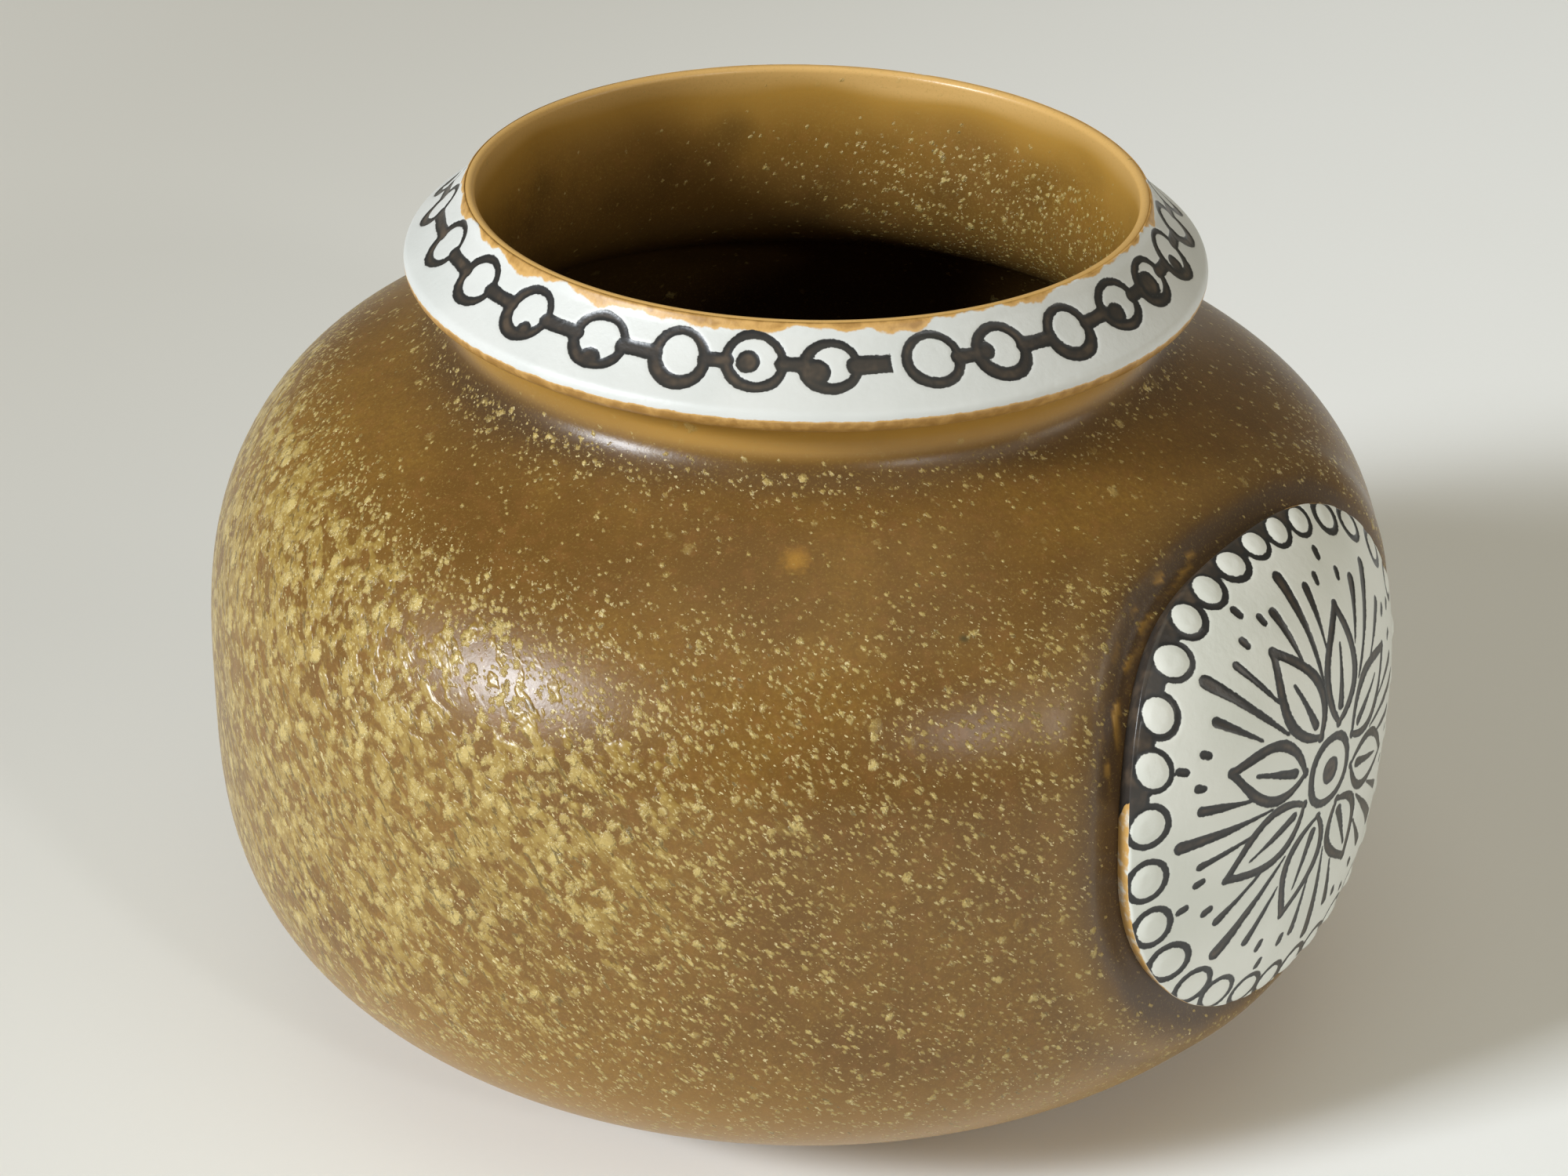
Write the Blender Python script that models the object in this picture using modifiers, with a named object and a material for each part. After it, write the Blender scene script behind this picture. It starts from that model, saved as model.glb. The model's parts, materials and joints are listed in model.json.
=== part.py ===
# Squat stoneware vase: a hollow thrown body with a spigot neck, a flared white collar seated round
# the spigot, and a domed medallion with a pearl border, pressed into a moated pocket in the belly.
# Metres, +Z up. The origin is on the table, under the axis. Turns are measured from -Y towards +X.

import math

import bmesh
import bpy
import numpy as np

mm = 0.001

# Belly and shoulder: two half superellipses that meet at the widest level
belly_radius = 82.5 * mm
belly_level = 47.4 * mm
base_lift = 1.5 * mm
lower_power = 3.4
shoulder_rise = 51.6 * mm
upper_power = 3.15
wall = 6.0 * mm

# Foot ring and floor
foot_radius = 46.0 * mm
foot_width = 5.5 * mm
foot_round = 1.2 * mm
foot_recess = 2.6 * mm
floor_thickness = 6.4 * mm

# Neck: the throat inside, the cove outside it, the ledge that carries the collar, and the spigot
# that stands up through the collar and ends in the lip
mouth_radius = 44.3 * mm
throat_draw_in = 1.0 * mm
spigot_wall = 1.7 * mm
spigot_height = 11.9 * mm
ledge_width = 3.3 * mm
cove_depth = 1.1 * mm
neck_height = 6.3 * mm
shoulder_blend = 19.0 * mm

# Collar: a flared ring, widest near its rounded lower edge
collar_overhang = 4.7 * mm
collar_edge_rise = 3.2 * mm
collar_edge_round = 2.0 * mm
collar_top_drop = 0.9 * mm
collar_top_width = 0.4 * mm
collar_hollow = 0.25 * mm

# Medallion and the pocket it sits in, laid out flat and then wrapped on the belly
medallion_turn = math.radians(54)
medallion_rise = 10.9 * mm
medallion_half_width = 35.0 * mm
medallion_half_height = 32.8 * mm
medallion_power = 2.2
rim_rise = 1.0 * mm
rim_width = 4.4 * mm
rim_round = 0.5 * mm
crown_rise = 2.0 * mm
pocket_depth = 1.4 * mm
moat_width = 3.4 * mm
moat_flare = 1.6 * mm

# Pearls: low domes in a ring on the medallion's rim, set a little wider apart on its left and
# right (by pearl_drift radians of turn) than at its top and bottom
pearl_count = 30
pearl_radius = 2.0 * mm
pearl_margin = 0.15 * mm
pearl_rise = 0.35 * mm
pearl_drift = 0.08

# The gap between neighbouring clay pieces, where the real ones are joined with slip
slip_gap = 0.3 * mm

# Facets round the axis, round the medallion, and round and up each pearl
turn_steps = 64
medallion_steps = 48
pearl_facets = (12, 4)

spigot_radius = mouth_radius + spigot_wall
ledge_radius = spigot_radius + ledge_width
ledge_level = belly_level + shoulder_rise + neck_height
lip_level = ledge_level + spigot_height
collar_radius = ledge_radius + collar_overhang
floor_level = foot_recess + floor_thickness
pearl_ring_radius = medallion_half_width - pearl_margin - pearl_radius


def superellipse(radius, half_height, power, count=400):
    # A quarter of the curve, from the widest point (radius, 0) to the axis (0, half_height)
    turn = np.linspace(0, math.pi / 2, count)
    return np.column_stack([
        radius * np.cos(turn) ** (2 / power),
        half_height * np.sin(turn) ** (2 / power),
    ])


def meridian(radius, low_height, high_height):
    # The belly's low and high curves, both from the widest level to the axis
    low = superellipse(radius, low_height, lower_power) * (1, -1) + (0, belly_level)
    high = superellipse(radius, high_height, upper_power) + (0, belly_level)
    return low, high


def arc_lengths(curve):
    steps = np.hypot(*np.diff(curve, axis=0).T)
    return np.concatenate([[0], np.cumsum(steps)])


def spread_points(curve, count):
    # The same curve with count points, closer where it turns: each gets a like share of the
    # curve's length and of its turning
    along = arc_lengths(curve)
    heading = np.unwrap(np.arctan2(*np.gradient(curve, axis=0).T))
    turning = np.concatenate([[0], np.cumsum(np.abs(np.diff(heading)))])
    share = along / along[-1] + turning / turning[-1]
    wanted = np.linspace(0, share[-1], count)
    return np.column_stack([np.interp(wanted, share, curve[:, axis]) for axis in (0, 1)])


def bezier(start, start_handle, end_handle, end, count):
    t = np.linspace(0, 1, count)[:, None]
    a, b, c, d = (np.array(point) for point in (start, start_handle, end_handle, end))
    return a * (1 - t) ** 3 + 3 * b * t * (1 - t) ** 2 + 3 * c * t * t * (1 - t) + d * t ** 3


def arc(centre, radius, start, end, count):
    turn = np.radians(np.linspace(start, end, count))
    return np.array(centre) + radius * np.column_stack([np.cos(turn), np.sin(turn)])


def drawn_in_to(curve, radius):
    # A curve from the widest level, cut where it has drawn in to radius
    z = np.interp(-radius, -curve[:, 0], curve[:, 1])
    return np.vstack([curve[curve[:, 0] > radius], (radius, z)])


def heading_at_end(curve):
    step = curve[-1] - curve[-3]
    return step / np.linalg.norm(step)


outer_low, outer_high = meridian(belly_radius, belly_level - base_lift, shoulder_rise)
inner_low, inner_high = meridian(belly_radius - wall, belly_level - floor_level,
                                 shoulder_rise - wall)


def inside_profile():
    # From the middle of the floor up the belly, in at the throat and up to the mouth
    shoulder = drawn_in_to(inner_high, ledge_radius + shoulder_blend - wall)
    throat = np.array((mouth_radius - throat_draw_in, ledge_level - neck_height / 2))
    mouth = np.array((mouth_radius, lip_level))
    up = np.array((0, neck_height))
    into_throat = bezier(shoulder[-1], shoulder[-1] + heading_at_end(shoulder) * neck_height,
                         throat - up, throat, 6)
    up_to_mouth = bezier(throat, throat + up, mouth - up, mouth, 4)
    return np.vstack([
        spread_points(inner_low[::-1], 9)[:-1],
        spread_points(shoulder, 7)[:-1],
        into_throat[:-1],
        up_to_mouth[:-1],
    ])


def neck_profile(shoulder_end, shoulder_heading):
    # From the ledge's outer corner down round the cove and out to the shoulder
    waist = np.array((ledge_radius - cove_depth, ledge_level - 0.6 * neck_height))
    corner = np.array((ledge_radius, ledge_level))
    down = np.array((0, -neck_height))
    cove = bezier(corner, (waist[0], corner[1]) + 0.2 * down, waist - 0.2 * down, waist, 5)
    foot = bezier(waist, waist + 0.8 * down,
                  shoulder_end + shoulder_heading * 0.5 * shoulder_blend, shoulder_end, 7)
    return np.vstack([cove[:-1], foot[:-1]])


def foot_profile():
    # Down the foot ring's outside, across the face it stands on, and in under the floor
    inside = foot_radius - foot_width
    outer_round = arc((foot_radius - foot_round, foot_round), foot_round, 0, -90, 3)
    inner_round = arc((inside + foot_round, foot_round), foot_round, -90, -180, 3)
    return np.vstack([outer_round, inner_round, (inside, foot_recess), (0, foot_recess)])


def body_profile():
    # One open line: up the inside, over the lip, and down the outside to the middle of the foot
    shoulder = drawn_in_to(outer_high, ledge_radius + shoulder_blend)
    return np.vstack([
        inside_profile(),
        arc((mouth_radius + spigot_wall / 2, lip_level), spigot_wall / 2, 180, 0, 7),
        (spigot_radius, ledge_level),
        neck_profile(shoulder[-1], heading_at_end(shoulder)),
        spread_points(shoulder[::-1], 14)[:-1],
        spread_points(drawn_in_to(outer_low, foot_radius), 11),
        foot_profile(),
    ])


def collar_profile():
    # A closed section: down the flared outside, round the lower edge, in along the cove to the
    # ledge, and up the bore that fits over the spigot
    bore = spigot_radius + slip_gap
    bottom = ledge_level + slip_gap
    top = np.array((bore + collar_top_width, lip_level - collar_top_drop))
    edge_centre = (collar_radius - collar_edge_round, ledge_level + collar_edge_rise)
    edge = arc(edge_centre, collar_edge_round, 40, -100, 7)
    handle = (top + edge[0]) / 2 - (collar_hollow, collar_hollow)
    flare = bezier(top, handle, handle, edge[0], 4)
    under = bezier(edge[-1], edge[-1] - (0.3 * collar_overhang, 0),
                   (ledge_radius, bottom + 0.3 * collar_edge_rise), (ledge_radius, bottom), 4)
    return np.vstack([flare[:-1], edge, under[1:], (bore, bottom), (bore, top[1])])


def new_object(name, mesh, collection):
    obj = bpy.data.objects.new(name, mesh)
    collection.objects.link(obj)
    return obj


def baked(obj):
    # The object keeps its evaluated mesh in place of its modifiers
    depsgraph = bpy.context.evaluated_depsgraph_get()
    mesh = bpy.data.meshes.new_from_object(obj.evaluated_get(depsgraph))
    obj.modifiers.clear()
    obj.data = mesh
    return obj


def belly_surface(across, along, height):
    # Wraps flat places on the belly: along is measured up the meridian from the medallion's
    # level, across round the belly from its turn, and height out along the surface's normal
    curve = np.vstack([outer_low[::-1], outer_high[1:]])
    lengths = arc_lengths(curve)
    middle = np.interp(belly_level + medallion_rise, curve[:, 1], lengths)

    def at(place):
        return np.array([np.interp(place, lengths, curve[:, axis]) for axis in (0, 1)])

    r, z = at(middle + along)
    reach = 1.5 * mm
    rise = at(middle + along + reach) - at(middle + along - reach)
    rise /= np.hypot(*rise)
    turn = medallion_turn + across / r
    out = r + height * rise[1]
    return np.column_stack([out * np.sin(turn), -out * np.cos(turn), z - height * rise[0]])


def wrap_on_belly(obj):
    # A flat piece has a round outline: it is stretched to the superellipse, then wrapped
    mesh = baked(obj).data
    flat = np.zeros(len(mesh.vertices) * 3)
    mesh.vertices.foreach_get("co", flat)
    flat = flat.reshape(-1, 3)
    turn = np.arctan2(flat[:, 1], flat[:, 0])
    spread = np.abs(np.cos(turn)) ** medallion_power + np.abs(np.sin(turn)) ** medallion_power
    stretch = spread ** (-1 / medallion_power)
    across = flat[:, 0] * stretch
    along = flat[:, 1] * stretch * medallion_half_height / medallion_half_width
    mesh.vertices.foreach_set("co", belly_surface(across, along, flat[:, 2]).ravel())
    mesh.update()
    return obj


def turned(name, profile, collection, steps, closed=False):
    # Profile points are (radius, height), and the outer side runs from top to bottom
    mesh = bpy.data.meshes.new(name)
    edges = [(i, i + 1) for i in range(len(profile) - 1)]
    if closed:
        edges.append((len(profile) - 1, 0))
    mesh.from_pydata([(r, 0, z) for r, z in profile], edges, [])
    obj = new_object(name, mesh, collection)
    screw = obj.modifiers.new("Turn", "SCREW")
    screw.steps = steps
    screw.render_steps = steps
    screw.use_merge_vertices = True
    screw.merge_threshold = 0.00001
    return obj


def add_boolean(obj, other, operation):
    modifier = obj.modifiers.new(operation.title(), "BOOLEAN")
    modifier.operation = operation
    modifier.solver = "EXACT"
    modifier.object = other


def as_cutter(obj):
    obj.hide_render = True
    obj.display_type = "WIRE"
    return obj


def new_material(name, color, roughness):
    material = bpy.data.materials.new(name)
    material.use_nodes = True
    shader = material.node_tree.nodes["Principled BSDF"]
    shader.inputs["Base Color"].default_value = (*color, 1)
    shader.inputs["Roughness"].default_value = roughness
    shader.inputs["Metallic"].default_value = 0
    material.diffuse_color = (*color, 1)
    return material


def finish(obj, material):
    obj.data.materials.clear()
    obj.data.materials.append(material)
    obj.data.shade_smooth()
    obj.data.set_sharp_from_angle(angle=math.radians(40))


def disc_rings(radius, height, count):
    # Points from the middle of a flat face out to just short of its edge
    return [(r, height) for r in np.linspace(0, radius, count, endpoint=False)]


def pocket_cutter(collection):
    # A disc as wide as the medallion and its moat, flared where it comes out of the belly
    edge = medallion_half_width + moat_width
    floor_edge = edge - moat_flare
    above = rim_rise + crown_rise + pearl_rise
    side = [
        (edge + moat_flare, above),
        (edge + moat_flare, 0.3 * pocket_depth),
        (edge, -0.3 * pocket_depth),
        (floor_edge, -pocket_depth),
    ]
    floor = disc_rings(floor_edge, -pocket_depth, 5)[::-1]
    profile = disc_rings(edge, above, 4) + side + floor
    cutter = turned("pocket_cutter", profile, collection, medallion_steps)
    return as_cutter(wrap_on_belly(cutter))


def pearls(collection):
    # One mesh of separate flattened balls, half sunk in the rim
    balls = bmesh.new()
    round_facets, up_facets = pearl_facets
    for index in range(pearl_count):
        turn = 2 * math.pi * (index + 0.5) / pearl_count
        turn += pearl_drift * math.sin(2 * turn)
        ball = bmesh.ops.create_uvsphere(balls, u_segments=round_facets, v_segments=up_facets,
                                         radius=pearl_radius)
        bmesh.ops.scale(balls, verts=ball["verts"], vec=(1, 1, pearl_rise / pearl_radius))
        place = (pearl_ring_radius * math.cos(turn), pearl_ring_radius * math.sin(turn), rim_rise)
        bmesh.ops.translate(balls, verts=ball["verts"], vec=place)
    mesh = bpy.data.meshes.new("pearls")
    balls.to_mesh(mesh)
    balls.free()
    return as_cutter(new_object("pearls", mesh, collection))


def build_body(parts, cutters, glaze):
    body = turned("thrown_body", body_profile(), parts, turn_steps)
    add_boolean(body, pocket_cutter(cutters), "DIFFERENCE")
    finish(body, glaze)


def build_collar(parts, glaze):
    finish(turned("collar_ring", collar_profile(), parts, turn_steps, closed=True), glaze)


def build_medallion(parts, cutters, glaze):
    # Turned flat as a low dome inside a level rim, joined with its pearls, then wrapped
    dome_edge = medallion_half_width - rim_width
    back = slip_gap - pocket_depth
    crown = [(r, rim_rise + crown_rise * (1 - (r / dome_edge) ** 2))
             for r in np.linspace(0, dome_edge, 7)]
    rim = [
        (medallion_half_width - rim_round, rim_rise),
        (medallion_half_width, rim_rise - rim_round),
        (medallion_half_width, back),
    ]
    under = disc_rings(medallion_half_width, back, 5)[::-1]
    medallion = turned("medallion", crown + rim + under, parts, medallion_steps)
    flat_pearls = pearls(cutters)
    add_boolean(medallion, flat_pearls, "UNION")
    wrap_on_belly(medallion)
    bpy.data.objects.remove(flat_pearls, do_unlink=True)
    finish(medallion, glaze)


def clear_scene():
    for obj in list(bpy.data.objects):
        bpy.data.objects.remove(obj, do_unlink=True)


def new_collection(name):
    collection = bpy.data.collections.new(name)
    bpy.context.scene.collection.children.link(collection)
    return collection


def main():
    clear_scene()
    parts = new_collection("stoneware_vase")
    cutters = new_collection("cutters")
    build_body(parts, cutters, new_material("ochre_glaze", (0.30, 0.16, 0.045), 0.45))
    build_collar(parts, new_material("white_glaze", (0.80, 0.82, 0.80), 0.5))
    build_medallion(parts, cutters, new_material("medallion_glaze", (0.76, 0.77, 0.73), 0.45))


main()
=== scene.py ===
import json
import math

import bpy
import numpy as np
from mathutils import Matrix, Vector

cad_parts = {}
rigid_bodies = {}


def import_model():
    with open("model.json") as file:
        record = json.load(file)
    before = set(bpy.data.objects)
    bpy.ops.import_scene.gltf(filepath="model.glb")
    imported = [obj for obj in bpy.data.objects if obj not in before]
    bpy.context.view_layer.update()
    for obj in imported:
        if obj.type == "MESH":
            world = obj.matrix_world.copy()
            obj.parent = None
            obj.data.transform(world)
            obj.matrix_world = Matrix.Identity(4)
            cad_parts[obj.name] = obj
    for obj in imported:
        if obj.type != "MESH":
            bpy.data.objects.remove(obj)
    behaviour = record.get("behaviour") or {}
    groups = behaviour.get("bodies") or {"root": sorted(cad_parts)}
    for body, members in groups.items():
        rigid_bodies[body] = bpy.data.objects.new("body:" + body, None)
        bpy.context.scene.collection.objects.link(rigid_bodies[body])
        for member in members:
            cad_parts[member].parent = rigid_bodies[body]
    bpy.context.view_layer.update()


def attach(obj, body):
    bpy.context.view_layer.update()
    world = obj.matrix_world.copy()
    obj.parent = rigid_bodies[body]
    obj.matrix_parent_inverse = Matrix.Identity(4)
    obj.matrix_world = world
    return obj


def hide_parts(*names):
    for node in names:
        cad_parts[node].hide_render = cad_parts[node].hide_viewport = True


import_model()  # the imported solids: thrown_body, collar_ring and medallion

mm = 0.001


def rgb(r, g, b):
    # A colour as it is read off a screen (0 to 255), made linear
    linear = [((c / 255 + 0.055) / 1.055) ** 2.4 if c > 10 else c / 255 / 12.92 for c in (r, g, b)]
    return (*linear, 1)


# Sizes of the pot, as in the solids. Turns are degrees from -Y towards +X.
pot = {
    "bellyRadius": 82.5 * mm,
    "bellyLevel": 47.4 * mm,
    "baseLift": 1.5 * mm,
    "lowerPower": 3.4,
    "shoulderRise": 51.6 * mm,
    "upperPower": 3.15,
    "wall": 6.0 * mm,
    "footRadius": 46.0 * mm,
    "footWidth": 5.5 * mm,
    "footRound": 1.2 * mm,
    "footRecess": 2.6 * mm,
    "floorThickness": 6.4 * mm,
    "mouthRadius": 44.3 * mm,
    "throatDrawIn": 1.0 * mm,
    "spigotRadius": 46.0 * mm,
    "ledgeRadius": 49.3 * mm,
    "ledgeLevel": 105.3 * mm,
    "lipLevel": 117.2 * mm,
    "coveDepth": 1.1 * mm,
    "neckHeight": 6.3 * mm,
    "shoulderBlend": 19.0 * mm,
    "ridgeRise": 0.4 * mm,  # the soft roll of clay outside the moat
    "ridgeReach": 7.6 * mm,
    "ridgeWidth": 3.0 * mm,
    "ridgeEnd": 16.0 * mm,
    "lipPoints": 11,
    # The mesh is fine to fineTurn degrees from the medallion's middle and fineMargin past its moat
    "fineTurn": 35.0,
    "fineMargin": 6.0 * mm,
    "fineColumns": 166,
    "farColumns": 158,
    "fineStep": 0.6 * mm,
    "farStep": 1.6 * mm,
}

medal = {
    "turn": 54.0,
    "rise": 10.9 * mm,
    "halfWidth": 35.0 * mm,
    "halfHeight": 32.8 * mm,
    "power": 2.2,
    "rimRise": 1.0 * mm,
    "crownRise": 2.0 * mm,
    "edgeRound": 0.55 * mm,
    "pocketDepth": 1.4 * mm,
    "moatWidth": 4.2 * mm,
    "moatLip": 1.4 * mm,
    "moatFoot": 0.8 * mm,
    "pearls": 30,
    "pearlRadius": 2.0 * mm,
    "pearlDrift": 0.08,
    "pearlRise": 0.22 * mm,
    "lineDepth": 0.12 * mm,
    "white": rgb(228, 229, 221),
    "whiteShade": rgb(217, 219, 210),
    "spokes": 560,
    "domeSteps": 108,
    "edgeSteps": 6,
}


def smooth(x, low, high):
    # From 0 at low to 1 at high with level ends; low may be the larger
    t = np.clip((x - low) / (high - low), 0, 1)
    return t * t * (3 - 2 * t)


def turnBy(turn, middle):
    # Degrees round from middle, -180 to 180
    return (turn - middle + 180) % 360 - 180


def bump(x, middle, width):
    # A bell: 1 at middle, 0.37 at width from it
    return np.exp(-((x - middle) / width) ** 2)


def curveLengths(curve):
    # How far along the curve each of its points is
    return np.concatenate([[0], np.cumsum(np.hypot(*np.diff(curve, axis=0).T))])


def spaced(curve, step):
    # The same curve with its points step apart, step being one length or one for each point
    lengths = curveLengths(curve)
    steps = np.broadcast_to(step, len(curve))
    shares = np.diff(lengths) * 2 / (steps[1:] + steps[:-1])
    counted = np.concatenate([[0], np.cumsum(shares)])
    wanted = np.linspace(0, counted[-1], max(2, int(round(counted[-1])) + 1))
    return np.column_stack([np.interp(wanted, counted, curve[:, k]) for k in (0, 1)])


def superCurve(radius, height, power):
    # A quarter of a superellipse, from its widest point to the axis
    turn = np.linspace(0, math.pi / 2, 600)
    return np.column_stack([radius * np.cos(turn) ** (2 / power),
                            height * np.sin(turn) ** (2 / power)])


def bend(a, b, c, d, count=40):
    # A cubic Bezier from a to d with handles b and c
    t = np.linspace(0, 1, count)[:, None]
    a, b, c, d = (np.array(p, float) for p in (a, b, c, d))
    return a * (1 - t) ** 3 + 3 * b * t * (1 - t) ** 2 + 3 * c * t * t * (1 - t) + d * t ** 3


def arcOf(centre, radius, start, end, count=24):
    # Part of a circle between two headings in degrees
    turn = np.radians(np.linspace(start, end, count))
    return np.array(centre) + radius * np.column_stack([np.cos(turn), np.sin(turn)])


def cutAt(curve, radius):
    # A curve from the widest level, cut where it has drawn in to radius
    z = np.interp(-radius, -curve[:, 0], curve[:, 1])
    return np.vstack([curve[curve[:, 0] > radius], (radius, z)])


def endHeading(curve):
    # The unit vector along the curve's last two stretches
    step = curve[-1] - curve[-3]
    return step / np.linalg.norm(step)


def join(*curves):
    # One line through several, with the doubled ends dropped
    line = [curves[0]]
    for curve in curves[1:]:
        near = np.linalg.norm(curve[0] - line[-1][-1]) < 1e-6
        line.append(curve[1:] if near else curve)
    return np.vstack(line)


widest = np.array((0, pot["bellyLevel"]))
outerLow = superCurve(pot["bellyRadius"], pot["bellyLevel"] - pot["baseLift"],
                      pot["lowerPower"]) * (1, -1) + widest
outerHigh = superCurve(pot["bellyRadius"], pot["shoulderRise"], pot["upperPower"]) + widest
floorLevel = pot["footRecess"] + pot["floorThickness"]
innerLow = superCurve(pot["bellyRadius"] - pot["wall"], pot["bellyLevel"] - floorLevel,
                      pot["lowerPower"]) * (1, -1) + widest
innerHigh = superCurve(pot["bellyRadius"] - pot["wall"], pot["shoulderRise"] - pot["wall"],
                       pot["upperPower"]) + widest

meridian = np.vstack([outerLow[::-1], outerHigh[1:]])
meridianLengths = curveLengths(meridian)
medalLevel = np.interp(pot["bellyLevel"] + medal["rise"], meridian[:, 1], meridianLengths)


def insideCurve():
    # Up the inside: half a superellipse, a Bezier in to the throat and one out to the mouth. Below
    # the throat the wall is steeper than the solid's, as the photograph shows it.
    shoulder = cutAt(innerHigh, pot["ledgeRadius"] + pot["shoulderBlend"] - pot["wall"])
    throat = np.array((pot["mouthRadius"] - pot["throatDrawIn"],
                       pot["ledgeLevel"] - pot["neckHeight"] / 2))
    mouth = np.array((pot["mouthRadius"], pot["lipLevel"]))
    up = np.array((0, pot["neckHeight"]))
    intoThroat = bend(shoulder[-1], shoulder[-1] + endHeading(shoulder) * 0.4 * pot["neckHeight"],
                      throat - 2.2 * up, throat)
    toMouth = bend(throat, throat + up, mouth - up, mouth)
    return join(spaced(innerLow[::-1], 3 * mm)[1:], spaced(shoulder, 3 * mm),
                spaced(intoThroat, 1.3 * mm), spaced(toMouth, 0.8 * mm))


def neckCurve(shoulder):
    # Down from the ledge's corner round the cove and out to the shoulder
    waist = np.array((pot["ledgeRadius"] - pot["coveDepth"],
                      pot["ledgeLevel"] - 0.6 * pot["neckHeight"]))
    corner = np.array((pot["ledgeRadius"], pot["ledgeLevel"]))
    down = np.array((0, -pot["neckHeight"]))
    cove = bend(corner, (waist[0], corner[1]) + 0.2 * down, waist - 0.2 * down, waist)
    foot = bend(waist, waist + 0.8 * down,
                shoulder[-1] + endHeading(shoulder) * 0.5 * pot["shoulderBlend"], shoulder[-1])
    return join(spaced(cove, 0.45 * mm), spaced(foot, 0.8 * mm))


def footCurve():
    # Down the foot ring's outside, across its face and in under the floor
    inner = pot["footRadius"] - pot["footWidth"]
    turn = pot["footRound"]
    return join(arcOf((pot["footRadius"] - turn, turn), turn, 0, -90, 6),
                arcOf((inner + turn, turn), turn, -90, -180, 6),
                np.array([(inner, pot["footRecess"] - 0.6 * mm),
                          (inner - 0.6 * mm, pot["footRecess"]),
                          (inner * 0.5, pot["footRecess"]), (3 * mm, pot["footRecess"])]))


def potCurve():
    # The whole section: up the inside, over the lip, down the outside and in under the foot
    shoulder = cutAt(outerHigh, pot["ledgeRadius"] + pot["shoulderBlend"])
    low = cutAt(outerLow, pot["footRadius"])
    near = medal["halfHeight"] + medal["moatWidth"] + pot["fineMargin"]
    rise = pot["bellyLevel"] + medal["rise"]
    belly = join(shoulder[::-1], low)
    steps = np.where(np.abs(belly[:, 1] - rise) < near, pot["fineStep"], pot["farStep"])
    lipThick = pot["spigotRadius"] - pot["mouthRadius"]
    lip = arcOf((pot["mouthRadius"] + lipThick / 2, pot["lipLevel"]), lipThick / 2, 180, 0,
                pot["lipPoints"])
    return [insideCurve(), join(lip, np.array([(pot["spigotRadius"], pot["ledgeLevel"])])),
            neckCurve(shoulder), spaced(belly, steps), footCurve()]


def outOf(line):
    # Unit vectors square to a section line, on the left of its heading, which is out of the clay
    heading = np.gradient(line, axis=0)
    heading /= np.linalg.norm(heading, axis=1)[:, None]
    return np.column_stack([-heading[:, 1], heading[:, 0]])


def roundAxis(angle, r, z):
    # Points at an angle from -Y towards +X, r out from the axis and z up
    return np.stack([r * np.sin(angle), -r * np.cos(angle), z], -1).reshape(-1, 3)


def gridFaces(rows, columns):
    # Quads between neighbouring rows and columns, the last column joined to the first
    i, j = np.meshgrid(np.arange(rows - 1), np.arange(columns), indexing="ij")
    k = (j + 1) % columns
    return np.stack([i * columns + j, (i + 1) * columns + j,
                     (i + 1) * columns + k, i * columns + k], -1).reshape(-1, 4)


def poleFaces(rows, columns):
    # Triangles from the first and last rows to two middle points, which follow the grid's points
    j = np.arange(columns)
    k = (j + 1) % columns
    tail = (rows - 1) * columns
    middle = rows * columns
    return [np.column_stack([np.full(columns, middle), j, k]),
            np.column_stack([np.full(columns, middle + 1), tail + k, tail + j])]


def addObject(name, data):
    # A new object in the scene's own collection
    item = bpy.data.objects.new(name, data)
    bpy.context.scene.collection.objects.link(item)
    return item


def makeMesh(name, points, faces, values, material):
    # One mesh object from points (n, 3), a list of face arrays and a value per point for each name
    mesh = bpy.data.meshes.new(name)
    mesh.from_pydata(points.tolist(), [], [f for block in faces for f in block.tolist()])
    for key, value in values.items():
        layer = mesh.attributes.new(key, "FLOAT", "POINT")
        layer.data.foreach_set("value", np.asarray(value, dtype=np.float32).ravel())
    mesh.materials.append(material)
    mesh.shade_smooth()
    mesh.update()
    return addObject(name, mesh)


def medalPlace(turn, r, z):
    # A point's place on the medallion's flat layout: across is the arc round the axis and along
    # the way up the section, both from its middle. The superellipse's sum is 1 on its edge.
    along = np.interp(z, meridian[:, 1], meridianLengths) - medalLevel
    across = np.radians(turnBy(turn, medal["turn"])) * r
    reach = (np.abs(across / medal["halfWidth"]) ** medal["power"]
             + np.abs(along / medal["halfHeight"]) ** medal["power"]) ** (1 / medal["power"])
    return across, along, reach


def wobble(x, y, scale, seed, waves=7):
    # A smooth uneven value about 0: the mean of a few sine waves of unlike length and heading
    random = np.random.default_rng(seed)
    total = np.zeros_like(x)
    for index in range(waves):
        heading = random.uniform(0, 2 * math.pi)
        length = scale * random.uniform(0.6, 1.7)
        phase = random.uniform(0, 2 * math.pi)
        ahead = x * math.cos(heading) + y * math.sin(heading)
        total += np.sin(ahead * 2 * math.pi / length + phase)
    return total / waves


# Shader helpers

def addNode(tree, kind, values=None, **settings):
    # A value that is another node's output becomes a link, any other is set on the socket
    node = tree.nodes.new("ShaderNode" + kind)
    for key, value in settings.items():
        setattr(node, key, value)
    for key, value in (values or {}).items():
        if isinstance(value, bpy.types.NodeSocket):
            tree.links.new(value, node.inputs[key])
        else:
            node.inputs[key].default_value = value
    return node


def calc(tree, operation, a, b=0.0, c=0.0):
    # One step of arithmetic on values
    node = addNode(tree, "Math", {0: a, 1: b, 2: c}, operation=operation)
    return node.outputs[0]


def times(tree, a, b):
    return calc(tree, "MULTIPLY", a, b)


def timesPlus(tree, a, b, c):
    return calc(tree, "MULTIPLY_ADD", a, b, c)


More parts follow.
